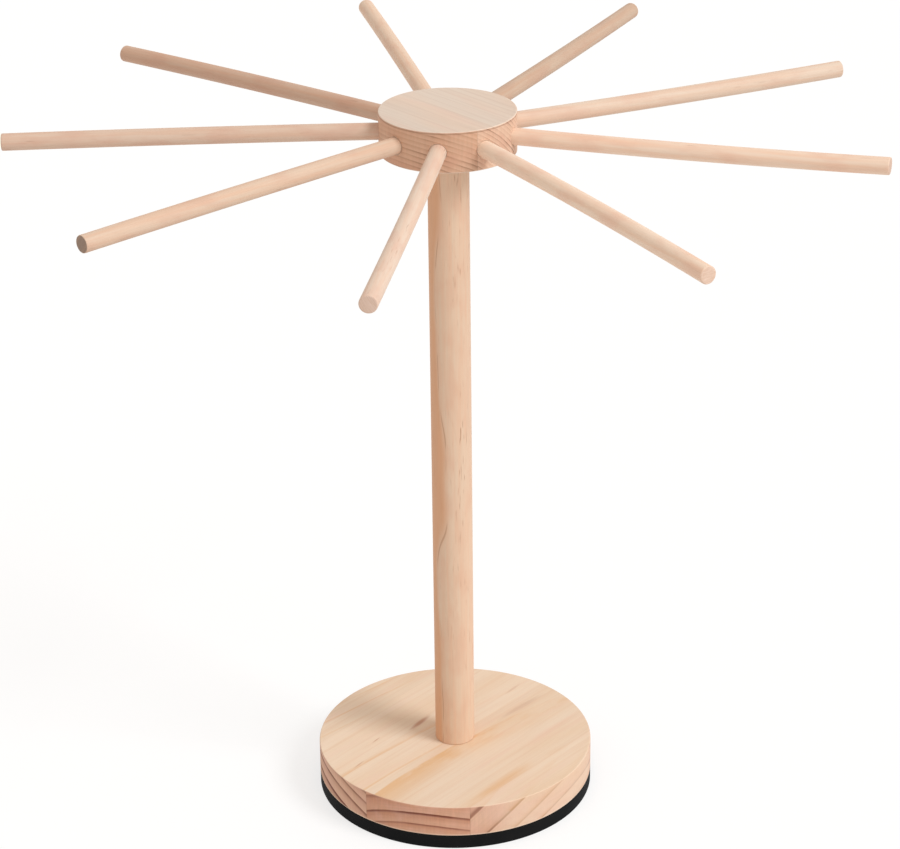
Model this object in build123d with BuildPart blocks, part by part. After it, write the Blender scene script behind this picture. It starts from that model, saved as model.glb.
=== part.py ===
from build123d import *
from math import cos, radians, sin, tan
import os

# A free-standing pasta drying rack of turned and drilled wood, in millimetres.
# +Z is up, and the origin is the centre of the foot pad's underside.
# A round pine base on a rubber pad carries a beech post, and a round hub on
# the post holds nine beech dowels, evenly spaced, in blind radial sockets.
# The post is bolted to the base and the hub turns on the post's upper bolt.

# Base board
base_diameter = 154.0
base_thickness = 18.0
base_edge_chamfer = 0.6

# Rubber pad under the base
pad_thickness = 8.0

# Post
post_diameter = 22.0
post_length = 352.0
post_end_chamfer = 0.6

# Hub
hub_diameter = 72.0
hub_thickness = 22.0
hub_edge_chamfer = 0.6

# Arms: push-fit dowels in the hub's sockets
arm_count = 9
arm_diameter = 9.0
arm_length = 210.0
arm_end_chamfer = 0.7
first_arm_angle = -90.0

# Sockets: drilled blind, with the cone that a drill leaves
socket_depth = 16.0
socket_fit = 0.05
socket_end_gap = 0.3
drill_point_angle = 118.0

# Hanger bolts: a machine thread at one end and a wood screw at the other.
# Both threads are plain solids at their outer diameters.
bolt_diameter = 8.0
bolt_wood_diameter = 7.4
bolt_wood_length = 26.0
bolt_point_length = 5.0
bolt_point_diameter = 1.6
bolt_end_chamfer = 0.8
bolt_fit = 0.05
pilot_fit = 0.05
pilot_end_gap = 1.0

# Tee nut let into the base from below
tee_barrel_diameter = 10.0
tee_barrel_length = 9.0
tee_flange_diameter = 22.0
tee_flange_thickness = 1.4
tee_flange_recess = 0.2
tee_prong_count = 4
tee_prong_width = 3.2
tee_prong_thickness = 1.4
tee_prong_inset = 0.6
tee_prong_height = 6.0
tee_prong_shoulder = 3.0
tee_fit = 0.05
base_bolt_end_gap = 2.0
base_bolt_clearance = 0.4

# Insert nut screwed into the hub from below, with a hexagon mouth
insert_diameter = 12.0
insert_length = 13.0
insert_recess = 0.4
insert_end_gap = 0.8
insert_fit = 0.05
insert_end_chamfer = 0.8
insert_hexagon_width = 9.0
insert_hexagon_depth = 4.0
hub_bolt_end_gap = 1.0

# Heights and radii that follow from the sizes above
base_bottom = pad_thickness
base_top = base_bottom + base_thickness
post_top = base_top + post_length
hub_bottom = post_top
hub_top = hub_bottom + hub_thickness
arm_height = (hub_bottom + hub_top) / 2

base_radius = base_diameter / 2
hub_radius = hub_diameter / 2
post_radius = post_diameter / 2
arm_radius = arm_diameter / 2
socket_radius = arm_radius + socket_fit
arm_start = hub_radius - socket_depth + socket_end_gap

bolt_radius = bolt_diameter / 2
threaded_hole_radius = bolt_radius + bolt_fit
pilot_radius = bolt_wood_diameter / 2 + pilot_fit
pilot_depth = bolt_wood_length + pilot_end_gap
base_bolt_reach = base_thickness - base_bolt_end_gap
hub_bolt_reach = insert_recess + insert_length - hub_bolt_end_gap

tee_flange_bottom = base_bottom + tee_flange_recess
tee_flange_top = tee_flange_bottom + tee_flange_thickness
insert_bottom = hub_bottom + insert_recess

arm_angles = [first_arm_angle + number * 360 / arm_count for number in range(arm_count)]


def radial_plane(angle, radius, height):
    """A plane at that radius and height whose normal points outwards, with its X axis up."""
    outwards = (cos(radians(angle)), sin(radians(angle)), 0)
    return Plane(
        origin=(radius * outwards[0], radius * outwards[1], height),
        x_dir=(0, 0, 1),
        z_dir=outwards,
    )


os.makedirs("parts", exist_ok=True)

# Foot pad: one disc cut from rubber sheet, flush with the base
with BuildPart() as base_pad:
    with BuildSketch():
        Circle(base_radius)
    extrude(amount=pad_thickness)
base_pad.part.label = "base_pad"
export_step(base_pad.part, "parts/base_pad.step")

# Tee nut: a drawn steel barrel on a round flange, with pointed prongs.
# The same outline, grown by its fit, cuts the seat in the base.
prong_radius = tee_flange_diameter / 2 - tee_prong_inset - tee_prong_thickness
prong_angles = [number * 360 / tee_prong_count for number in range(tee_prong_count)]


def tee_nut_outline(growth):
    """The tee nut with its bore closed and every upright wall moved out by the growth."""
    half_width = tee_prong_width / 2 + growth
    with BuildPart() as outline:
        with BuildSketch(Plane.XY.offset(tee_flange_bottom)):
            Circle(tee_flange_diameter / 2 + growth)
        extrude(amount=tee_flange_thickness)
        with BuildSketch(Plane.XY.offset(tee_flange_top)):
            Circle(tee_barrel_diameter / 2 + growth)
        extrude(amount=tee_barrel_length + growth)
        for angle in prong_angles:
            with BuildSketch(radial_plane(angle, prong_radius - growth, tee_flange_bottom)):
                with BuildLine():
                    Polyline(
                        (0, -half_width),
                        (tee_flange_thickness + tee_prong_shoulder, -half_width),
                        (tee_flange_thickness + tee_prong_height + growth, 0),
                        (tee_flange_thickness + tee_prong_shoulder, half_width),
                        (0, half_width),
                        close=True,
                    )
                make_face()
            extrude(amount=tee_prong_thickness + 2 * growth)
    return outline.part


tee_nut_blank = tee_nut_outline(0)
tee_nut_seat = tee_nut_outline(tee_fit)

with BuildPart() as base_tee_nut:
    add(tee_nut_blank)
    with Locations((0, 0, tee_flange_top + tee_barrel_length)):
        Hole(threaded_hole_radius)
base_tee_nut.part.label = "base_tee_nut"
export_step(base_tee_nut.part, "parts/base_tee_nut.step")

# Base board: an eased disc with the bolt's hole and the tee nut's seat below it
with BuildPart() as base_disc:
    with BuildSketch(Plane.XY.offset(base_bottom)):
        Circle(base_radius)
    extrude(amount=base_thickness)
    chamfer(base_disc.edges().group_by(Axis.Z)[-1], base_edge_chamfer)
    with Locations((0, 0, base_top)):
        Hole(threaded_hole_radius + base_bolt_clearance)
    add(tee_nut_seat, mode=Mode.SUBTRACT)
    with BuildSketch(Plane.XY.offset(base_bottom)):
        Circle(tee_flange_diameter / 2 + tee_fit)
    extrude(amount=tee_flange_recess, mode=Mode.SUBTRACT)
base_disc.part.label = "base_disc"
export_step(base_disc.part, "parts/base_disc.step")

# Post: a round dowel with a pilot hole in each end
with BuildPart() as post:
    with BuildSketch(Plane.XY.offset(base_top)):
        Circle(post_radius)
    extrude(amount=post_length)
    chamfer(post.edges().filter_by(GeomType.CIRCLE), post_end_chamfer)
    with Locations(Location((0, 0, post_top)), Location((0, 0, base_top), (180, 0, 0))):
        Hole(pilot_radius, pilot_depth)
post.part.label = "post"
export_step(post.part, "parts/post.step")

# Hanger bolts: each is revolved from a half section whose Y axis runs along
# the bolt towards its machine end, with the post's end face at Y = 0
bolt_section_planes = {
    "base_hanger_bolt": Plane((0, 0, base_top), x_dir=(1, 0, 0), z_dir=(0, 1, 0)),
    "hub_hanger_bolt": Plane((0, 0, post_top), x_dir=(1, 0, 0), z_dir=(0, -1, 0)),
}
bolt_reaches = {"base_hanger_bolt": base_bolt_reach, "hub_hanger_bolt": hub_bolt_reach}
bolt_wood_radius = bolt_wood_diameter / 2
for name, section_plane in bolt_section_planes.items():
    reach = bolt_reaches[name]
    with BuildPart() as hanger_bolt:
        with BuildSketch(section_plane):
            with BuildLine():
                Polyline(
                    (0, reach),
                    (bolt_radius - bolt_end_chamfer, reach),
                    (bolt_radius, reach - bolt_end_chamfer),
                    (bolt_radius, 0),
                    (bolt_wood_radius, 0),
                    (bolt_wood_radius, bolt_point_length - bolt_wood_length),
                    (bolt_point_diameter / 2, -bolt_wood_length),
                    (0, -bolt_wood_length),
                    close=True,
                )
            make_face()
        revolve(axis=Axis.Z)
    hanger_bolt.part.label = name
    export_step(hanger_bolt.part, f"parts/{name}.step")

# Insert nut: a threaded barrel in the hub, with a hexagon socket in its mouth
with BuildPart() as hub_insert_nut:
    with BuildSketch(Plane.XY.offset(insert_bottom)):
        Circle(insert_diameter / 2)
    extrude(amount=insert_length)
    chamfer(hub_insert_nut.edges().group_by(Axis.Z)[-1], insert_end_chamfer)
    with Locations((0, 0, insert_bottom + insert_length)):
        Hole(threaded_hole_radius)
    with BuildSketch(Plane.XY.offset(insert_bottom)):
        RegularPolygon(insert_hexagon_width / 2, side_count=6, major_radius=False)
    extrude(amount=insert_hexagon_depth, mode=Mode.SUBTRACT)
hub_insert_nut.part.label = "hub_insert_nut"
export_step(hub_insert_nut.part, "parts/hub_insert_nut.step")

# Socket cutter: a drilled hole along -Z whose mouth is at Z = 0
drill_point_height = socket_radius / tan(radians(drill_point_angle / 2))
with BuildPart() as socket_cutter:
    with BuildSketch(Plane.XZ):
        with BuildLine():
            Polyline(
                (0, -socket_depth - drill_point_height),
                (socket_radius, -socket_depth),
                (socket_radius, 0),
                (0, 0),
                close=True,
            )
        make_face()
    revolve(axis=Axis.Z)

# Hub: a thick disc with a ring of blind sockets and the insert's hole below
with BuildPart() as hub:
    with BuildSketch(Plane.XY.offset(hub_bottom)):
        Circle(hub_radius)
    extrude(amount=hub_thickness)
    chamfer(hub.edges().filter_by(GeomType.CIRCLE), hub_edge_chamfer)
    with Locations(Location((0, 0, hub_bottom), (180, 0, 0))):
        Hole(insert_diameter / 2 + insert_fit, insert_recess + insert_length + insert_end_gap)
    for angle in arm_angles:
        with Locations(radial_plane(angle, hub_radius, arm_height)):
            add(socket_cutter.part, mode=Mode.SUBTRACT)
hub.part.label = "hub"
export_step(hub.part, "parts/hub.step")

# Arms: dowels chamfered at both ends, pushed into the sockets
for number, angle in enumerate(arm_angles, start=1):
    with BuildPart(radial_plane(angle, arm_start, arm_height)) as arm:
        Cylinder(arm_radius, arm_length, align=(Align.CENTER, Align.CENTER, Align.MIN))
        chamfer(arm.edges().filter_by(GeomType.CIRCLE), arm_end_chamfer)
    arm.part.label = f"arm_{number}"
    export_step(arm.part, f"parts/arm_{number}.step")
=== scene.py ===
"""The looks of a pasta drying rack: a pine base and hub, and a post and nine arms of beech.

Each piece is a surface worked out in millimetres, in the CAD model's frame: +Z is up and the
origin is the centre of the foot pad's underside. Its points go into its mesh in metres.
"""

from math import cos, pi, radians, sin, tan

import bmesh
import bpy
import numpy as np
from mathutils import Matrix


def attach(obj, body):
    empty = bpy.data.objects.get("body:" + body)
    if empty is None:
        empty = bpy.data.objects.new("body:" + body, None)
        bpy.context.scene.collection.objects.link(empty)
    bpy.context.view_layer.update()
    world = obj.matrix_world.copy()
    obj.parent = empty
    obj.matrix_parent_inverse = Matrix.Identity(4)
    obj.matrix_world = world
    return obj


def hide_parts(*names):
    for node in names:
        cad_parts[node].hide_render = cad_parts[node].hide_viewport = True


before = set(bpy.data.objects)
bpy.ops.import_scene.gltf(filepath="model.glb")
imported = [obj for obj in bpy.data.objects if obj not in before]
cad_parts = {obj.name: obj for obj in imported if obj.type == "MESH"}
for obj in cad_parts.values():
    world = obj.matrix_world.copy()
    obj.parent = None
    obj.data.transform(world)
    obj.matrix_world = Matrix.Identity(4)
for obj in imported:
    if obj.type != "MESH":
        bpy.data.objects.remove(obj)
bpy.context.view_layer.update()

MM = 0.001

# Sizes that the CAD model has, in millimetres
base_radius = 77.0
base_bottom = 8.0
base_top = 26.0
base_hole_radius = 4.45
tee_barrel_radius = 5.05
tee_barrel_top = 18.65
tee_flange_radius = 11.05
tee_flange_top = 9.6
post_radius = 11.0
post_top = 378.0
pilot_radius = 3.75
pilot_depth = 27.0
hub_radius = 36.0
hub_bottom = post_top
hub_top = 400.0
hub_hole_radius = 6.05
hub_hole_top = 392.2
arm_height = (hub_bottom + hub_top) / 2
arm_radius = 4.5
arm_start = 20.3
arm_length = 210.0
socket_radius = 4.55
socket_depth = 16.0
drill_point_angle = 118.0
drill_point_height = socket_radius / tan(radians(drill_point_angle / 2))
arm_count = 9
first_arm_angle = -90.0
arm_angles = [first_arm_angle + number * 360.0 / arm_count for number in range(arm_count)]

# How far each kind of edge is eased with sandpaper or by the cutter, in millimetres
turned_ease = 0.6
foot_ease = 0.45
hole_ease = 0.25
mouth_ease = 0.6
pad_ease = 0.35
arm_ease = 0.75
inner_ease = 0.1
hub_hole_ease = 0.2

# An eased corner has this many faces, and past it a point holds the flat side flat, this share of
# the ease away. A corner with the row's ease only cuts a long wall into rows of faces.
corner_steps = 5
hold_share = 0.15
row_ease = 0.01

# Faces round each turned piece
base_columns = 288
post_columns = 96
arm_columns = 56

# Points nearer than this are one point, in millimetres
join_distance = 0.002


# Surfaces

def unit(vector):
    return vector / np.linalg.norm(vector)


def eased_profile(corners):
    """A profile of radius and height through the corners, each rounded by its own ease.

    Between the two tangent points, which lie one ease from the corner along its two sides,
    the curve is the quadratic a(1-t)^2 + 2c t(1-t) + b t^2 with c at the corner. A point a
    little outside each tangent point keeps the shading of the flat side flat.
    """
    corners = [np.array(corner, float) for corner in corners]
    t = np.linspace(0, 1, corner_steps + 1)[:, None]
    points = [corners[0][None, :2]]
    for before, corner, after in zip(corners, corners[1:], corners[2:]):
        c, ease = corner[:2], corner[2]
        towards_before = unit(before[:2] - c)
        towards_after = unit(after[:2] - c)
        a = c + towards_before * ease
        b = c + towards_after * ease
        curve = a * (1 - t) ** 2 + 2 * c * t * (1 - t) + b * t**2
        hold = hold_share * ease
        points += [a[None] + towards_before * hold, curve, b[None] + towards_after * hold]
    points.append(corners[-1][None, :2])
    return np.concatenate(points)


def wall_rows(radius, start, end, count):
    """Corners that cut a long straight wall into even rows."""
    return [(radius, height, row_ease) for height in np.linspace(start, end, count)]


def turned(profile, angles):
    """A surface of revolution: the point at radius r and height z goes to (r cos a, r sin a, z)."""
    radius, height = profile[:, :1], profile[:, 1:]
    return np.stack(
        np.broadcast_arrays(radius * np.cos(angles), radius * np.sin(angles), height), axis=-1
    )


def full_turn(columns):
    return np.linspace(0, 2 * pi, columns + 1)


def radial_frame(angle):
    """Rows: outwards at that angle in degrees, sideways to the left of outwards, and up."""
    a = radians(angle)
    return np.array([(cos(a), sin(a), 0), (-sin(a), cos(a), 0), (0, 0, 1)])


def skin(name, patches, material):
    """One mesh piece from grids of points, each (rows, columns, 3) in millimetres, with four
    neighbouring points of a grid to a face. Equal points of all the grids are joined, which
    closes seams and poles, and then the faces are turned outwards."""
    points, faces, first = [], [], 0
    for grid in patches:
        rows, columns = grid.shape[:2]
        index = first + np.arange(rows * columns).reshape(rows, columns)
        quads = np.stack([index[:-1, :-1], index[:-1, 1:], index[1:, 1:], index[1:, :-1]], axis=-1)
        points.append(grid.reshape(-1, 3))
        faces.append(quads.reshape(-1, 4))
        first += rows * columns
    mesh = bpy.data.meshes.new(name)
    mesh.from_pydata((np.concatenate(points) * MM).tolist(), [], np.concatenate(faces).tolist())
    work = bmesh.new()
    work.from_mesh(mesh)
    bmesh.ops.remove_doubles(work, verts=work.verts, dist=join_distance * MM)
    bmesh.ops.recalc_face_normals(work, faces=work.faces)
    work.to_mesh(mesh)
    work.free()
    mesh.shade_smooth()
    mesh.materials.append(material)
    piece = bpy.data.objects.new(name, mesh)
    bpy.context.scene.collection.objects.link(piece)
    return piece


def base_board_grid():
    """The base: its outside, then up through the tee nut's seat and the bolt's hole, and back
    to the circle on the top face where the profile starts."""
    start = (40, base_top, 0)
    corners = [
        start,
        (base_radius, base_top, turned_ease),
        (base_radius, base_bottom, foot_ease),
        (tee_flange_radius, base_bottom, hole_ease),
        (tee_flange_radius, tee_flange_top, inner_ease),
        (tee_barrel_radius, tee_flange_top, inner_ease),
        (tee_barrel_radius, tee_barrel_top, inner_ease),
        (base_hole_radius, tee_barrel_top, inner_ease),
        (base_hole_radius, base_top, hole_ease),
        start,
    ]
    return turned(eased_profile(corners), full_turn(base_columns))


def foot_pad_grid():
    """The rubber pad: a disc with its two edges just broken."""
    corners = [
        (0, base_bottom, 0),
        (base_radius, base_bottom, pad_ease),
        (base_radius, 0, pad_ease),
        (0, 0, 0),
    ]
    return turned(eased_profile(corners), full_turn(base_columns))


def post_grid():
    """The post with a blind pilot hole in each end, its outside cut into rows for even faces."""
    low, high = base_top, post_top
    margin, rows = 20, 12
    corners = [
        (0, high - pilot_depth, 0),
        (pilot_radius, high - pilot_depth, inner_ease),
        (pilot_radius, high, hole_ease),
        (post_radius, high, turned_ease),
        *wall_rows(post_radius, high - margin, low + margin, rows),
        (post_radius, low, turned_ease),
        (pilot_radius, low, hole_ease),
        (pilot_radius, low + pilot_depth, inner_ease),
        (0, low + pilot_depth, 0),
    ]
    return turned(eased_profile(corners), full_turn(post_columns))


# The hub's rim is worked out unrolled: s runs round it from the middle of an arm's share,
# and z runs up from the arms' height.
share = 2 * pi / arm_count
rim_half_width = hub_radius * share / 2
rim_half_height = (hub_top - hub_bottom) / 2 - turned_ease * (1 + hold_share)
top_steps, side_steps = 24, 20

# How far each row of a share's rim lies from the socket's mouth, 0, to the share's border, 1
rim_rows = np.array([0, 0.02, 0.1, 0.22, 0.38, 0.56, 0.75, 0.9, 0.98, 1])[:, None]

# Rows of a socket: faces round its mouth, depths down its wall, and the share of the drill's cone
# that its first row takes. A row at the mouth follows the rim, and one this much deeper is flat.
mouth_steps = 5
wall_depths = [mouth_ease, 5, 11, socket_depth]
cone_start = 0.03
flat_depth = 4


def share_border():
    """Points round the border of one arm's share of the rim, from its lower right corner and
    anticlockwise as seen from outside, with equal steps along each side."""
    w, h = rim_half_width, rim_half_height
    up = np.linspace(-h, h, side_steps + 1)[:-1]
    across = np.linspace(-w, w, top_steps + 1)[:-1]
    s = np.concatenate([np.full(side_steps, w), -across, np.full(side_steps, -w), across, [w]])
    z = np.concatenate([up, np.full(top_steps, h), -up, np.full(top_steps, -h), [-h]])
    return s, z


def rim_point(angle, s, z):
    """The unrolled rim's point (s, z) goes to s / R round the hub from the arm's angle."""
    turn = radians(angle) + s / hub_radius
    return np.stack([hub_radius * np.cos(turn), hub_radius * np.sin(turn), arm_height + z], axis=-1)


def rim_share_grids(angle):
    """One arm's share of the rim, and its socket.

    The share blends straight, on the unrolled rim, from the socket's mouth to the border. The
    socket follows the arm's axis: a quarter circle into the mouth, the wall, and the drill's
    cone. Its point at radius p and angle q starts at depth 0 where the rim has y = p cos q.
    """
    border_s, border_z = share_border()
    q = np.arctan2(border_z, border_s)
    mouth = socket_radius + mouth_ease
    mouth_s = hub_radius * np.arcsin(mouth * np.cos(q) / hub_radius)
    mouth_z = mouth * np.sin(q)
    rim_s = mouth_s * (1 - rim_rows) + border_s * rim_rows
    rim_z = mouth_z * (1 - rim_rows) + border_z * rim_rows

    turn = np.linspace(0, pi / 2, mouth_steps + 1)
    radius = np.concatenate([
        socket_radius + mouth_ease * (1 - np.sin(turn)),
        np.full(len(wall_depths), socket_radius),
        [socket_radius * (1 - cone_start), 0],
    ])[:, None]
    depth = np.concatenate([
        mouth_ease * (1 - np.cos(turn)),
        wall_depths,
        [socket_depth + cone_start * drill_point_height, socket_depth + drill_point_height],
    ])[:, None]
    saddle = np.sqrt(hub_radius**2 - (radius * np.cos(q)) ** 2)
    flat = np.clip((depth - mouth_ease) / flat_depth, 0, 1)
    outwards = saddle * (1 - flat) + hub_radius * flat - depth
    local = np.stack(np.broadcast_arrays(outwards, radius * np.cos(q), radius * np.sin(q)), axis=-1)
    bore = local @ radial_frame(angle) + (0, 0, arm_height)
    return [rim_point(angle, rim_s, rim_z), bore]


def hub_grids():
    """The hub: nine shares of the rim, and its top and bottom faces with the insert's hole.

    Each face's profile reaches to the arms' height, which gives the corner at the rim its
    direction. That point is then left out, because the shares cover the rim."""
    columns = np.linspace(-share / 2, 2 * pi - share / 2, arm_count * top_steps + 1)
    columns = columns + radians(first_arm_angle)
    top = eased_profile(
        [(0, hub_top, 0), (hub_radius, hub_top, turned_ease), (hub_radius, arm_height, 0)]
    )[:-1]
    bottom = eased_profile(
        [
            (hub_radius, arm_height, 0),
            (hub_radius, hub_bottom, turned_ease),
            (hub_hole_radius, hub_bottom, hole_ease),
            (hub_hole_radius, hub_hole_top, hub_hole_ease),
            (0, hub_hole_top, 0),
        ]
    )[1:]
    rings = np.array([(radius, hub_top) for radius in np.linspace(0, hub_radius, 5)[1:-1]])
    top = np.concatenate([top[:1], rings, top[1:]])
    grids = [turned(top, columns), turned(bottom, columns)]
    for angle in arm_angles:
        grids += rim_share_grids(angle)
    return grids


def arm_grid(angle, bow):
    """A dowel along its own axis with both ends eased. Outside the socket it leaves its axis
    by bow * u^2, where u runs from 0 at the hub's rim to 1 at the tip, sideways and upwards."""
    margin, rows = 12, 24
    profile = eased_profile(
        [
            (0, 0, 0),
            (arm_radius, 0, arm_ease),
            *wall_rows(arm_radius, margin, arm_length - margin, rows),
            (arm_radius, arm_length, arm_ease),
            (0, arm_length, 0),
        ]
    )
    grid = turned(profile, full_turn(arm_columns))
    radial, along = grid[..., :2], grid[..., 2] + arm_start
    u = np.clip((along - hub_radius) / (arm_start + arm_length - hub_radius), 0, 1)[..., None]
    offset = radial + np.array(bow) * u**2
    local = np.concatenate([along[..., None], offset], axis=-1)
    return local @ radial_frame(angle) + (0, 0, arm_height)


# Shaders

def tone(red, green, blue):
    """A colour from its 0-255 values on a screen, as the linear colour that a shader takes."""
    screen = np.array([red, green, blue]) / 255
    linear = np.where(screen <= 0.04045, screen / 12.92, ((screen + 0.055) / 1.055) ** 2.4)
    return (*linear.tolist(), 1.0)


def shader_tones(tones):
    """A table of screen colours as a table of a shader's colours."""
    return {name: tone(*colour) for name, colour in tones.items()}


class Signal:
    """A node's output. Arithmetic on it adds Math nodes, or Vector Math nodes for vectors."""

    def __init__(self, paint, socket):
        self.paint = paint
        self.socket = socket

    def __add__(self, other):
        return self.paint.math("ADD", self, other)

    def __sub__(self, other):
        return self.paint.math("SUBTRACT", self, other)

    def __mul__(self, other):
        return self.paint.math("MULTIPLY", self, other)

    def __truediv__(self, other):
        return self.paint.math("DIVIDE", self, other)

    def __pow__(self, other):
        return self.paint.math("POWER", self, other)

    def __radd__(self, other):
        return self.paint.math("ADD", other, self)

    def __rsub__(self, other):
        return self.paint.math("SUBTRACT", other, self)

    def __rmul__(self, other):
        return self.paint.math("MULTIPLY", other, self)

    def __lt__(self, other):
        return self.paint.math("LESS_THAN", self, other)

    def __abs__(self):
        return self.paint.math("ABSOLUTE", self)

    def fraction(self):
        return self.paint.math("FRACT", self)

    def floor(self):
        return self.paint.math("FLOOR", self)

    def ramp(self, low, high):
        """0 at low, 1 at high, with a smooth step between. High may be below low."""
        return self.paint.add(
            "MapRange",
            {"interpolation_type": "SMOOTHSTEP"},
            {"Value": self, "From Min": low, "From Max": high},
        )

    def output(self, name):
        """Another output of the same node."""
        return Signal(self.paint, self.socket.node.outputs[name])

    def parts(self):
        separated = self.paint.add("SeparateXYZ", {}, {"Vector": self})
        return [separated.output(axis) for axis in "XYZ"]


class Paint:
    """The nodes of one material, or of the world."""

    def __init__(self, owner):
        self.owner = owner
        owner.use_nodes = True
        self.nodes = owner.node_tree.nodes
        self.links = owner.node_tree.links
        self.nodes.clear()

    def add(self, kind, settings=None, inputs=None, output=0):
        """Any node: its settings first, then a value or a signal for each socket named or
        numbered in inputs. It gives the signal of one output, by number or name."""
        node = self.nodes.new("ShaderNode" + kind)
        for key, value in (settings or {}).items():
            setattr(node, key, value)
        for key, value in (inputs or {}).items():
            if isinstance(value, Signal):
                self.links.new(value.socket, node.inputs[key])
            else:
                node.inputs[key].default_value = value
        return Signal(self, node.outputs[output]) if node.outputs else None

    def math(self, operation, *values):
        """A Math node, or a Vector Math node where a value is a vector."""
        vectors = any(isinstance(v, Signal) and v.socket.type == "VECTOR" for v in values)
        if vectors:
            values = [v if isinstance(v, (Signal, tuple)) else (v, v, v) for v in values]
        kind = "VectorMath" if vectors else "Math"
        return self.add(kind, {"operation": operation}, dict(enumerate(values)))

    def mix(self, share, first, second, blend="MIX"):
        """Two colours. A Mix node's sockets for colours are 6 and 7, and its output is 2."""
        settings = {"data_type": "RGBA", "blend_type": blend}
        return self.add("Mix", settings, {0: share, 6: first, 7: second}, output=2)

    def mix_shaders(self, share, first, second):
        return self.add("MixShader", {}, {0: share, 1: first, 2: second})

    def shade(self, colour, amount):
        """The colour multiplied by an amount that varies."""
        grey = self.add("CombineColor", {}, {0: amount, 1: amount, 2: amount})
        return self.mix(1.0, colour, grey, "MULTIPLY")

    def noise(self, vector, detail=2.0, roughness=0.5):
        inputs = {"Vector": vector, "Scale": 1.0, "Detail": detail, "Roughness": roughness}
        return self.add("TexNoise", {}, inputs)

    def noise_along(self, value, detail=1.0):
        """Noise of one number."""
        inputs = {"W": value, "Scale": 1.0, "Detail": detail}
        return self.add("TexNoise", {"noise_dimensions": "1D"}, inputs)

    def wood_patterns(self, place, table):
        """Noises drawn out along X, the grain. Each row of the table says how many times a
        millimetre one changes along and across the grain, then its detail and roughness."""
        return {
            name: self.noise(place * (along, across, across), detail, roughness)
            for name, (along, across, detail, roughness) in table.items()
        }

    def scatter(self, seed):
        """A number from 0 to 1 that differs from seed to seed."""
        return self.add("TexWhiteNoise", {"noise_dimensions": "1D"}, {"W": seed})

    def point(self, *values):
        return self.add("CombineXYZ", {}, dict(enumerate(values)))

    def distance(self, first, second):
        return (first * first + second * second) ** 0.5

    def place(self, origin=(0, 0, 0), turn=(0, 0, 0)):
        """Object coordinates in millimetres from the origin, on axes turned by those degrees."""
        inputs = {
            "Vector": self.add("TexCoord", output="Object"),
            "Location": tuple(MM * value for value in origin),
            "Rotation": tuple(radians(value) for value in turn),
            "Scale": (MM, MM, MM),
        }
        return self.add("Mapping", {"vector_type": "TEXTURE"}, inputs)

    def normal(self):
        """The surface's own direction, in the object's axes."""
        return self.add("TexCoord", output="Normal")

    def alignment(self, first, second):
        """How far two directions agree, 0 to 1, either way."""
        dot = {"operation": "DOT_PRODUCT"}
        return abs(self.add("VectorMath", dot, {0: first, 1: second}, output="Value"))

    def facing(self, direction):
        """How squarely the surface faces a direction, 0 to 1, either way."""
        return self.alignment(self.normal(), direction)

    def eased_edges(self, level, low, high):
        """1 on the eased edges, which are neither upright nor level. It rises from low to
        high as the surface turns away from upright."""
        return level.ramp(low, high) * level.ramp(0.998, 0.85)

    def seen_directly(self):
        """1 for the camera's rays and for those that gloss and glass send on, and 0 for light."""
        path = self.add("LightPath")
        seen = path.output("Is Camera Ray") + path.output("Is Glossy Ray")
        seen = seen + path.output("Is Transmission Ray")
        return self.math("MINIMUM", seen, 1.0)

    def finish(self, colour, roughness, height, depth, **constants):
        """The surface's own shader, with the height in millimetres as its bump."""
        bump = {"Height": height, "Distance": depth * MM, "Strength": 1.0}
        inputs = {"Base Color": colour, "Roughness": roughness, **constants}
        inputs["Normal"] = self.add("Bump", {}, bump)
        surface = self.add("BsdfPrincipled", {}, inputs)
        self.add("OutputMaterial", {}, {"Surface": surface})
        return self.owner


# The pine's patterns, in rows as Paint.wood_patterns takes them
pine_patterns = {
    "wander": (0.011, 0.055, 3, 0.5),
    "fibres": (0.045, 2.2, 3, 0.6),
    "streaks": (0.007, 0.35, 3, 0.6),
    "pores": (0.3, 5.5, 1, 0.5),
    "clouds": (0.008, 0.045, 2, 0.5),
    "blush": (0.012, 0.1, 2, 0.5),
    "patches": (0.03, 0.11, 3, 0.6),
    "fading": (0.02, 0.08, 1, 0.5),
}
# Places in a ring, which runs from 0 to 1: where the radius given for a line falls, where the
# ring's dark wood is darkest, where its line starts, and where it all begins to end
line_place = 0.96
band_peak = 0.97
line_edge = 0.93
ring_edge = 0.965
# In millimetres: how far from a board's middle its "bow" is measured, how far below the top the
# painted shade under the top edge starts and ends, how high the painted highlight on the lower
# edge is, and between which two places along the grain the lines of a plain end fade out
bow_reach = 75.0
painted_edge_shade_start, painted_edge_shade_end = 0.5, 1.6
painted_highlight_height = 0.8
plain_from, plain_to = 16.0, -10.0


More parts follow.
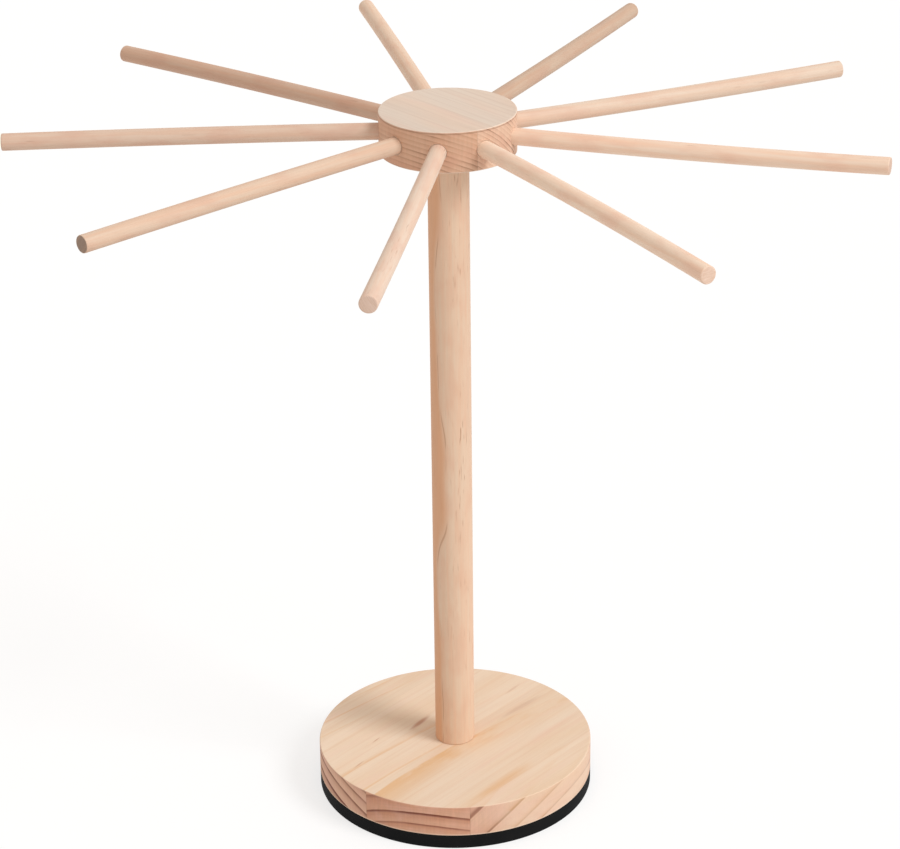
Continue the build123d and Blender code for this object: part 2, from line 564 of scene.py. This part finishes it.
def glued_pine(name, top, thickness, grain, boards, tones, strengths, marks=()):
    """Boards of pine glued edge to edge. X runs along the grain, Y across it and Z up from the
    top face. In each board the rings are cylinders round its log's pith: a ring starts pale,
    darkens slowly outwards and ends sharply. On faces cut along the grain the dark wood shows
    as soft golden bands, under fine streaks, and on faces cut across it as thin red-brown
    lines. The rim's eased edges are paler, partly for their sanding and partly as a painted
    highlight. The lower edge has a painted highlight, and a band just under the top edge has
    painted shade. The top face has marks.

    A board begins at "start". "drift" and "lean" turn its pith sideways and upwards from the
    board's length, and "bow" is how far its middle lies to the side of its ends. "line" is the
    radius of one ring's end, "spacing" the rings' width there and "crowding" how fast that
    width changes. "wander" is how far the rings waver, "soft" where in a ring its dark wood
    begins and "core" how wide its line is. "gold" and "side" are how strong the bands are on
    the top and on upright faces, and "ink" how strong the lines are on end grain. "dark" is how
    dark the end grain is between the lines, and "shade" multiplies the whole board.

    The strengths run from 0 to 1. "streaking" is that of the fine streaks. "arris" is how pale
    the eased edges are, partly for their sanding and partly as a painted highlight, and
    "painted_low_highlight" is a painted highlight along the lower edge. "burn" is a band of painted
    shade just under the top edge. "fading" is how far the end grain's lines fade in patches, and
    "plain_end" how far they fade towards one end of the grain. "seam" is how dark the glue lines
    are,
    "top_seams" the share of that on the top face, and "upright" how far the rim looks like end
    grain all round.

    A mark has its middle and half size along and across the grain, its slope, its tone and its
    strength.
    """
    paint = Paint(bpy.data.materials.new(name))
    tones = shader_tones(tones)
    place = paint.place((0, 0, top), (0, 0, grain))
    along, across, up = place.parts()
    pattern = paint.wood_patterns(place, pine_patterns)
    fibres, clouds, blush = pattern["fibres"], pattern["clouds"], pattern["blush"]

    def by_board(key):
        """A value that changes at each glue line."""
        value = boards[0][key]
        for board, neighbour in zip(boards[1:], boards):
            if board[key] != neighbour[key]:
                value = value + (1 - (across < board["start"])) * (board[key] - neighbour[key])
        return value

    # Rings
    wander = (pattern["wander"] - 0.5) * by_board("wander")
    from_middle = along / bow_reach
    bend = (1.0 - from_middle * from_middle) * by_board("bow")
    from_pith = across + along * by_board("drift") - bend - by_board("pith_across")
    over_pith = up - along * by_board("lean") - by_board("pith_up")
    radius = paint.distance(from_pith, over_pith) + wander
    steps = (radius - by_board("line")) / by_board("spacing")
    count = steps + steps * steps * by_board("crowding") + line_place
    phase = count.fraction()
    ring_seed = count.floor() + by_board("start")
    ring_strength = 0.5 + 0.5 * paint.scatter(ring_seed)
    end_of_ring = phase.ramp(1.0, ring_edge)
    band = phase.ramp(by_board("soft"), band_peak) ** 1.3 * end_of_ring
    # A line is a wide faint part and a narrow dark one, which end together
    core = by_board("core")
    faint_line = phase.ramp(line_edge - 3.5 * core, 0.9)
    deep_line = phase.ramp(line_edge - 1.0 * core, 0.92)
    line = (0.25 * faint_line + 0.75 * deep_line) * end_of_ring
    fine_rings = paint.noise(paint.point(radius * 1.3, across * 0.03, ring_seed), 2)

    # The surface's own direction, and the bands along the edges that get painted highlights and
    # shade
    level = paint.facing((0, 0, 1))
    on_top = level.ramp(0.6, 0.9)
    cut_across = paint.facing((cos(radians(grain)), sin(radians(grain)), 0)).ramp(0.22, 0.72)
    cut_across = paint.math("MAXIMUM", cut_across, (1 - on_top) * strengths["upright"])
    # Eased edges: paler, partly for their sanding and partly as a painted highlight
    pale_edge_and_highlight = paint.eased_edges(level, 0.06, 0.4)
    # Painted shade in a band just under the top edge, on the rim
    painted_edge_shade = (up + painted_edge_shade_start).ramp(0.0, -0.35) * (up + painted_edge_shade_end).ramp(0.0, 0.5) * (1 - on_top)
    # A painted highlight along the lower edge
    painted_low_highlight = (up + thickness - painted_highlight_height).ramp(0.25, -0.25)

    # Faces cut along the grain
    along_grain = paint.mix(clouds.ramp(0.35, 0.7), tones["pale"], tones["warm"])
    streaking = pattern["streaks"].ramp(0.42, 0.7) * strengths["streaking"]
    along_grain = paint.mix(streaking, along_grain, tones["streak"])
    along_grain = paint.mix(blush.ramp(0.48, 0.72) * 0.5, along_grain, tones["blush"])
    gold = by_board("side") + on_top * (by_board("gold") - by_board("side"))
    patches = (pattern["patches"] - along * 0.0025).ramp(0.34, 0.64)
    band_strength = band * ring_strength * gold * (0.2 + 0.85 * patches)
    along_grain = paint.mix(band_strength, along_grain, tones["golden"])

    # Faces cut across it
    rays = paint.noise(place * (0.8, 0.8, 0.07), 3, 0.6)
    fading = pattern["fading"].ramp(0.6, 0.4) * strengths["fading"]
    dark = by_board("dark") * (0.75 + 0.5 * clouds) + phase.ramp(0.1, 0.9) * 0.25
    end_grain = paint.mix(dark, tones["end"], tones["end_dark"])
    end_grain = paint.mix(blush.ramp(0.4, 0.7) * 0.5, end_grain, tones["end_blush"])
    ink = line * ring_strength * by_board("ink") * (1 - fading)
    ink = ink * (1 - strengths["plain_end"] * along.ramp(plain_from, plain_to))
    end_grain = paint.mix(ink, end_grain, tones["line"])
    end_grain = paint.shade(end_grain, 0.78 + 0.24 * rays + 0.2 * fine_rings)

    # Painted shade and highlights along the edges, then marks and glue lines
    colour = paint.mix(cut_across, along_grain, end_grain)
    # Painted shade under the top edge, the eased edges' pale tone that is partly painted highlight,
    # and the lower edge's painted highlight
    colour = paint.mix(painted_edge_shade * strengths["painted_edge_shade"], colour, tones["line"])
    colour = paint.mix(pale_edge_and_highlight * strengths["pale_edge_and_highlight"], colour, tones["pale_edge_and_highlight"])
    colour = paint.mix(painted_low_highlight * strengths["painted_low_highlight"], colour, tones["pale_edge_and_highlight"])
    for middle, half, slope, stain, depth in marks:
        beside = across - middle[1] - (along - middle[0]) * slope
        spot = paint.distance((along - middle[0]) / half[0], beside / half[1]) + fibres * 0.5
        colour = paint.mix(spot.ramp(1.3, 0.5) * depth * on_top, colour, tones[stain])
    seams = sum(abs(across - board["start"]).ramp(0.26, 0.08) for board in boards[1:])
    top_seams = strengths["top_seams"]
    seams = seams * (top_seams + (1 - top_seams) * (1 - on_top))
    grey = by_board("shade") * (0.94 + 0.12 * fibres) * (0.97 + 0.06 * pattern["pores"])
    colour = paint.shade(colour, grey * (1 - strengths["seam"] * seams))
    roughness = 0.6 + 0.12 * fibres - 0.08 * band
    height = 0.5 * fibres + 0.3 * pattern["pores"] - 0.25 * band_strength - 0.8 * seams
    return paint.finish(colour, roughness, height, 0.06, **{"Specular IOR Level": 0.3})


# The beech's patterns, in rows as Paint.wood_patterns takes them
beech_patterns = {
    "wander": (0.011, 0.04, 1.5, 0.5),
    "streaks": (0.014, 0.45, 3, 0.6),
    "fibres": (0.04, 4.0, 2, 0.5),
    "spots": (0.1, 1.5, 1, 0.5),
    "flecked_areas": (0.012, 0.12, 1, 0.5),
    "blotches": (0.05, 0.13, 2, 0.5),
}
# How far each unit of seed moves the patterns along and across the dowel, in millimetres
seed_shift = (17.0, 5.0, 11.0)


def beech(name, origin, turn, length_axis, pith, tones, figure, heart, flecks, seed=0.0):
    """Steamed beech. X runs along the dowel. Rings of uneven width give long faint stripes that
    wander by the figure, over pink streaks and short blotches. Darker heartwood ends in a soft
    edge at the heart radius, with a thin dark vein here and there. The wood's rays show as
    short brown flecks where the surface follows a ring, as strong as flecks says. The ends are
    darker, with fine lines from the pith. The pith is sideways and upwards from the dowel's
    axis, and each seed gives a dowel other wood."""
    paint = Paint(bpy.data.materials.new(name))
    tones = shader_tones(tones)
    place = paint.place(origin, turn)
    along, across, up = place.parts()
    shifted = place + tuple(seed * shift for shift in seed_shift)
    pattern = paint.wood_patterns(shifted, beech_patterns)
    fibres, streaks = pattern["fibres"], pattern["streaks"]

    # Rings, and a vein that breaks off here and there along the heartwood's edge
    from_pith = across - pith[0]
    over_pith = up - pith[1]
    radius = paint.distance(from_pith, over_pith) + (pattern["wander"] - 0.5) * figure
    rings = paint.noise_along(radius * 0.55 + seed, 3)
    heartwood = radius.ramp(heart + 1.5, heart - 2.5)
    broken = paint.noise_along(along * 0.03 + seed, 1).ramp(0.46, 0.58)
    vein = abs(radius - heart).ramp(0.4, 0.08) * broken

    # The flecks of the rays, which point away from the pith, on the dowel's own axes
    spin = {"rotation_type": "EULER_XYZ", "invert": True}
    angles = tuple(radians(value) for value in turn)
    normal = paint.add("VectorRotate", spin, {"Vector": paint.normal(), "Rotation": angles})
    ray = paint.point(0.0, from_pith, over_pith)
    ray = paint.add("VectorMath", {"operation": "NORMALIZE"}, {0: ray})
    on_ring = paint.alignment(normal, ray).ramp(0.3, 0.85)
    fleck = pattern["spots"].ramp(0.62, 0.78) * pattern["flecked_areas"].ramp(0.35, 0.65)
    fleck = fleck * (0.2 + 0.8 * on_ring) * flecks

    # The long sides
    colour = paint.mix(streaks.ramp(0.3, 0.72), tones["pale"], tones["pink"])
    colour = paint.mix(pattern["blotches"].ramp(0.42, 0.72) * 0.5, colour, tones["blush"])
    colour = paint.mix(heartwood * 0.75, colour, tones["heart"])
    colour = paint.mix(rings.ramp(0.45, 0.75) * 0.06, colour, tones["stripe"])
    colour = paint.mix(vein * 0.45, colour, tones["fleck"])
    colour = paint.mix(fleck, colour, tones["fleck"])

    # The ends
    turn_about_pith = paint.math("ARCTAN2", over_pith, from_pith)
    rays = paint.noise(paint.point(turn_about_pith * radius * 1.6, radius * 0.25, along * 0.05), 1)
    ends = paint.mix(rays.ramp(0.35, 0.7), tones["end"], tones["end_pale"])
    ends = paint.mix(rings.ramp(0.45, 0.75) * 0.3, ends, tones["stripe"])
    cut_across = paint.facing(length_axis).ramp(0.45, 0.85)
    colour = paint.mix(cut_across, colour, ends)

    colour = paint.shade(colour, (0.94 + 0.12 * fibres) * (0.94 + 0.12 * streaks))
    roughness = 0.52 + 0.12 * fibres + 0.1 * cut_across
    height = 0.45 * fibres - 0.5 * fleck + 0.25 * streaks
    return paint.finish(colour, roughness, height, 0.05, **{"Specular IOR Level": 0.32})


def rubber(name):
    """Matt black sheet rubber: a fine pressed grain, faint paler dust and a scuffed edge."""
    paint = Paint(bpy.data.materials.new(name))
    place = paint.place()
    grain = paint.noise(place * 3.2, 3, 0.65)
    clouds = paint.noise(place * 0.06, 3)
    dust = paint.noise(place * 1.7, 2, 0.7).ramp(0.66, 0.8)
    scuffs = paint.eased_edges(paint.facing((0, 0, 1)), 0.1, 0.5)
    colour = paint.mix(clouds.ramp(0.3, 0.7), tone(12, 13, 14), tone(20, 20, 21))
    colour = paint.mix(dust * 0.14 + scuffs * 0.12, colour, tone(70, 67, 65))
    roughness = 0.68 + 0.2 * grain
    return paint.finish(colour, roughness, grain, 0.06, **{"Specular IOR Level": 0.12})


def plated_metal(name, bright, dull, pitch):
    """Plated or cast metal: cloudy brightness, fine scratches and, for a thread, grooves round Z a
    pitch apart, bumped in and darkened with painted shade."""
    paint = Paint(bpy.data.materials.new(name))
    place = paint.place()
    _, _, up = place.parts()
    clouds = paint.noise(place * 0.5, 3)
    scratches = paint.noise(place * (6.0, 6.0, 0.8), 2)
    groove = abs((up / pitch).fraction() - 0.5) * 2.0
    colour = paint.mix(clouds.ramp(0.3, 0.7), tone(*bright), tone(*dull))
    # The thread's grooves are darkened: painted shade in its roots
    colour = paint.mix(groove.ramp(0.75, 1.0) * 0.35, colour, tone(92, 90, 88))
    roughness = 0.26 + 0.16 * clouds + 0.1 * scratches
    return paint.finish(colour, roughness, groove * -1.0 + 0.08 * scratches, 0.3, Metallic=1.0)


def pale_floor(name, whiteness, glow):
    """A pale floor. The camera, gloss and glass see it as white with the soft shadow on it: that
    share of a plain glow, and the rest lit."""
    paint = Paint(bpy.data.materials.new(name))
    grain = paint.noise(paint.place() * 0.02, 2)
    sheet = paint.mix(grain * 0.5, tone(236, 236, 236), tone(231, 231, 231))
    plain = paint.add("BsdfDiffuse", {}, {"Color": sheet})
    lit = paint.add("BsdfDiffuse", {}, {"Color": (1, 1, 1, 1)})
    white = paint.add("Emission", {}, {"Color": (1, 1, 1, 1), "Strength": glow})
    bright = paint.mix_shaders(whiteness, lit, white)
    surface = paint.mix_shaders(paint.seen_directly(), plain, bright)
    paint.add("OutputMaterial", {}, {"Surface": surface})
    return paint.owner


# Finishes of this rack. The grain's direction is in degrees from X.

base_grain = 57.5
base_boards = [
    dict(start=-99.0, pith_across=63.0, pith_up=117.0, line=174.2, spacing=10.2, crowding=0.18,
         drift=0.0, lean=0.3, bow=0.0, wander=0.9, soft=0.55, core=0.09,
         gold=0.2, side=0.6, ink=0.85, dark=0.5, shade=1.01),
    dict(start=-56.0, pith_across=-41.7, pith_up=-91.1, line=86.3, spacing=7.7, crowding=-0.12,
         drift=0.08, lean=0.0, bow=6.0, wander=1.2, soft=0.5, core=0.2,
         gold=1.0, side=0.8, ink=1.0, dark=0.8, shade=0.99),
    dict(start=-1.3, pith_across=44.0, pith_up=-120.7, line=118.2, spacing=7.4, crowding=0.088,
         drift=0.1, lean=0.0, bow=4.5, wander=1.0, soft=0.84, core=0.26,
         gold=0.6, side=0.6, ink=1.05, dark=0.38, shade=1.015),
    dict(start=53.4, pith_across=20.0, pith_up=-60.0, line=62.0, spacing=6.0, crowding=0.0,
         drift=0.1, lean=0.0, bow=0.0, wander=1.4, soft=0.8, core=0.12,
         gold=0.5, side=0.5, ink=0.9, dark=0.6, shade=0.98),
]
base_tones = {
    "pale": (236, 214, 191),
    "warm": (233, 206, 178),
    "streak": (226, 191, 160),
    "golden": (224, 170, 108),
    "blush": (234, 200, 177),
    "end": (232, 199, 173),
    "end_dark": (211, 154, 124),
    "end_blush": (222, 174, 154),
    "line": (104, 42, 24),
    # The eased edges' pale tone, partly painted highlight
    "pale_edge_and_highlight": (245, 224, 201),
    # The brown of resin streaks, which the streak beside the post also uses as painted shade
    "resin_and_shade": (176, 100, 62),
}
base_strengths = {
    "streaking": 0.4,
    "pale_edge_and_highlight": 0.2,
    # Painted highlight on the eased edges, partly their sanding, and on the lower edge; painted
    # shade under the top edge is off on the base
    "painted_low_highlight": 0.5,
    "painted_edge_shade": 0.0,
    "fading": 0.25,
    "plain_end": 0.0,
    "seam": 0.13,
    "top_seams": 0.03,
    "upright": 0.35,
}
base_marks = (
    ((-32.7, 30.9), (4.5, 0.5), 0.1, "resin_and_shade", 0.5),
    # This streak beside the post is partly a real resin streak and partly painted shade, deepening
    # the post's shadow on the base
    ((-2.5, 24.5), (11.0, 2.2), 0.1, "resin_and_shade", 0.62),
    ((-58.8, 20.6), (6.0, 0.5), 0.1, "resin_and_shade", 0.4),
    ((48.0, -8.6), (22.0, 2.6), -0.04, "resin_and_shade", 0.22),
    ((61.0, 8.0), (9.0, 1.3), 0.1, "resin_and_shade", 0.16),
    ((-24.0, -52.5), (32.0, 3.6), 0.03, "golden", 0.33),
    ((-16.0, -13.5), (9.0, 4.5), 0.1, "golden", 0.3),
)
base_pine = glued_pine("glued pine of the base", base_top, base_top - base_bottom, base_grain,
                       base_boards, base_tones, base_strengths, base_marks)

hub_grain = -40.48
hub_boards = [
    dict(start=-99.0, pith_across=-75.0, pith_up=-125.0, line=131.0, spacing=2.5, crowding=0.0,
         drift=0.0, lean=0.0, bow=0.0, wander=1.6, soft=0.5, core=0.35,
         gold=0.18, side=0.4, ink=0.6, dark=0.7, shade=0.98),
    dict(start=-10.3, pith_across=-63.0, pith_up=-92.0, line=115.0, spacing=2.1, crowding=0.0,
         drift=0.0, lean=0.0, bow=0.0, wander=1.2, soft=0.5, core=0.3,
         gold=0.12, side=0.4, ink=0.8, dark=0.15, shade=1.0),
]
hub_tones = {
    "pale": (226, 210, 195),
    "warm": (229, 206, 187),
    "streak": (212, 189, 172),
    "golden": (214, 184, 160),
    "blush": (229, 200, 183),
    "end": (236, 201, 176),
    "end_dark": (217, 172, 142),
    "end_blush": (217, 165, 138),
    "line": (116, 68, 46),
    # The eased edges' pale tone, partly painted highlight
    "pale_edge_and_highlight": (243, 229, 213),
}
hub_strengths = {
    "streaking": 0.55,
    # Painted highlight on the eased edges, partly their sanding, and painted shade under the top
    # edge
    "pale_edge_and_highlight": 0.6,
    "painted_low_highlight": 0.0,
    "painted_edge_shade": 0.35,
    "fading": 0.8,
    "plain_end": 0.7,
    "seam": 0.1,
    "top_seams": 0.0,
    "upright": 1.0,
}
hub_pine = glued_pine("glued pine of the hub", hub_top, hub_top - hub_bottom, hub_grain,
                      hub_boards, hub_tones, hub_strengths)

post_tones = {
    "pale": (232, 204, 178),
    "pink": (229, 192, 164),
    "heart": (221, 165, 124),
    "blush": (226, 182, 154),
    "stripe": (208, 160, 126),
    "fleck": (163, 112, 80),
    "end": (190, 150, 122),
    "end_pale": (208, 172, 146),
}
post_beech = beech("beech of the post", origin=(0, 0, 0), turn=(0, -90, 0),
                   length_axis=(0, 0, 1), pith=(12.0, 60.0), tones=post_tones,
                   figure=20.0, heart=61.5, flecks=0.8)

arm_tones = {
    "pale": (236, 212, 192),
    "pink": (231, 197, 173),
    "heart": (224, 184, 158),
    "blush": (226, 184, 162),
    "stripe": (216, 176, 148),
    "fleck": (172, 128, 100),
    "end": (209, 179, 160),
    "end_pale": (219, 191, 174),
}
# Each arm: its wood's tint as a share of the tones, partly its own wood and partly painted light
# and shade for how brightly the arm is lit; how pale its end faces are beside it, also partly
# painted shade and light, as on arm 9's darkened end; where its pith lies, and its tip's bow
# sideways and upwards in millimetres
arm_woods = [
    {"tint_and_painted_light": (0.990, 1.002, 1.010), "end": 1.06, "pith": (20, 30), "bow": (-3.0, -3.0)},
    {"tint_and_painted_light": (1.055, 1.065, 1.065), "end": 1.03, "pith": (-40, 12), "bow": (-2.6, -3.0)},
    {"tint_and_painted_light": (1.050, 1.047, 1.043), "end": 0.97, "pith": (14, -38), "bow": (1.6, 3.0)},
    {"tint_and_painted_light": (0.990, 1.003, 1.005), "end": 1.00, "pith": (34, 26), "bow": (1.9, 2.1)},
    {"tint_and_painted_light": (0.872, 0.852, 0.826), "end": 1.00, "pith": (-28, -30), "bow": (2.6, 0.7)},
    {"tint_and_painted_light": (1.000, 0.990, 0.970), "end": 1.00, "pith": (45, 5), "bow": (0.9, -1.9)},
    {"tint_and_painted_light": (0.885, 0.838, 0.808), "end": 1.00, "pith": (8, 42), "bow": (0.4, -2.2)},
    {"tint_and_painted_light": (0.940, 0.925, 0.918), "end": 1.00, "pith": (-36, 22), "bow": (0.4, -1.5)},
    {"tint_and_painted_light": (0.955, 0.945, 0.928), "end": 0.76, "pith": (25, -25), "bow": (-1.6, -2.0)},
]


def arm_tones_with_painted_light(wood):
    """The arms' tones in this arm's tint, which is partly painted light and shade, and on its end
    faces darker or paler by its "end", which is partly painted shade and light too.
    """
    tones = {}
    for key, colour in arm_tones.items():
        # The end faces take the arm's "end" as well, partly painted shade and light
        depth = wood["end"] if key.startswith("end") else 1.0
        tones[key] = tuple(value * tint_and_painted_light * depth for value, tint_and_painted_light in zip(colour, wood["tint_and_painted_light"]))
    return tones


def arm_beech(number, angle, wood):
    return beech(f"beech of arm {number}", origin=(0, 0, arm_height), turn=(0, 0, angle),
                 length_axis=(cos(radians(angle)), sin(radians(angle)), 0), pith=wood["pith"],
                 tones=arm_tones_with_painted_light(wood), figure=3.0, heart=30.0, flecks=0.4,
                 seed=number * 0.37)


# Pieces

def wear(piece, body, slot, *nodes):
    """The piece rides on that body and stands for those CAD nodes."""
    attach(piece, body)
    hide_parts(*nodes)


wear(skin("base_board", [base_board_grid()], base_pine), "stand", "base_pine", "base_disc")
wear(skin("foot_pad", [foot_pad_grid()], rubber("matt black rubber")),
     "stand", "pad_rubber", "base_pad")
wear(skin("post_dowel", [post_grid()], post_beech), "stand", "post_beech", "post")
wear(skin("turned_hub", hub_grids(), hub_pine), "hub", "hub_pine", "hub")

for number, (angle, wood) in enumerate(zip(arm_angles, arm_woods), start=1):
    finish = arm_beech(number, angle, wood)
    arm = skin(f"dowel_arm_{number}", [arm_grid(angle, wood["bow"])], finish)
    wear(arm, f"arm_{number}", "arm_beech", f"arm_{number}")

plated_steel = plated_metal("zinc plated steel", (196, 197, 198), (168, 168, 170), 1.25)
cast_zinc = plated_metal("cast zinc alloy", (186, 184, 178), (150, 148, 144), 2.5)
for node in ("base_tee_nut", "base_hanger_bolt", "hub_hanger_bolt"):
    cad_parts[node].material_slots[0].material = plated_steel
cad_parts["hub_insert_nut"].material_slots[0].material = cast_zinc


# Floor, light and camera

floor_half = 8000.0
floor_steps = np.linspace(-floor_half, floor_half, 3)
floor_x, floor_y = np.meshgrid(floor_steps, floor_steps)
floor_grid = np.stack([floor_x, floor_y, 0 * floor_x], axis=-1)
floor = skin("floor", [floor_grid], pale_floor("pale floor", whiteness=0.68, glow=1.03))


def rotation(degrees, axis):
    return Matrix.Rotation(radians(degrees), 4, axis)


studio = bpy.data.worlds.new("studio")
bpy.context.scene.world = studio
sky = Paint(studio)
soft_light = sky.add("Background", {}, {"Color": (1.0, 0.925, 0.855, 1), "Strength": 0.658})
white = sky.add("Background", {}, {"Color": (1, 1, 1, 1), "Strength": 1.0})
sky_surface = sky.mix_shaders(sky.seen_directly(), soft_light, white)
sky.add("OutputWorld", {}, {"Surface": sky_surface})

lamp = bpy.data.lights.new("key_light", "SUN")
lamp.energy = 1.6
lamp.angle = radians(24)
lamp.color = (0.97, 1.0, 1.03)
key_light = bpy.data.objects.new("key_light", lamp)
key_azimuth, key_elevation = 70.0, 44.0
key_light.matrix_world = rotation(key_azimuth, "Z") @ rotation(90 - key_elevation, "X")
bpy.context.scene.collection.objects.link(key_light)

lens = bpy.data.cameras.new("camera")
lens.lens = 118.096
lens.sensor_width = 36.0
lens.sensor_fit = "HORIZONTAL"
lens.clip_start, lens.clip_end = 0.01, 40.0
camera = bpy.data.objects.new("camera", lens)
camera_place = (0.2125, -1.4343, 0.8937)
camera_azimuth, camera_pitch, camera_roll = 8.456, 24.894, -0.7
camera.matrix_world = (
    Matrix.Translation(camera_place)
    @ rotation(camera_azimuth, "Z")
    @ rotation(90 - camera_pitch, "X")
    @ rotation(camera_roll, "Z")
)
bpy.context.scene.collection.objects.link(camera)
bpy.context.scene.camera = camera

bpy.context.scene.view_settings.view_transform = "Standard"
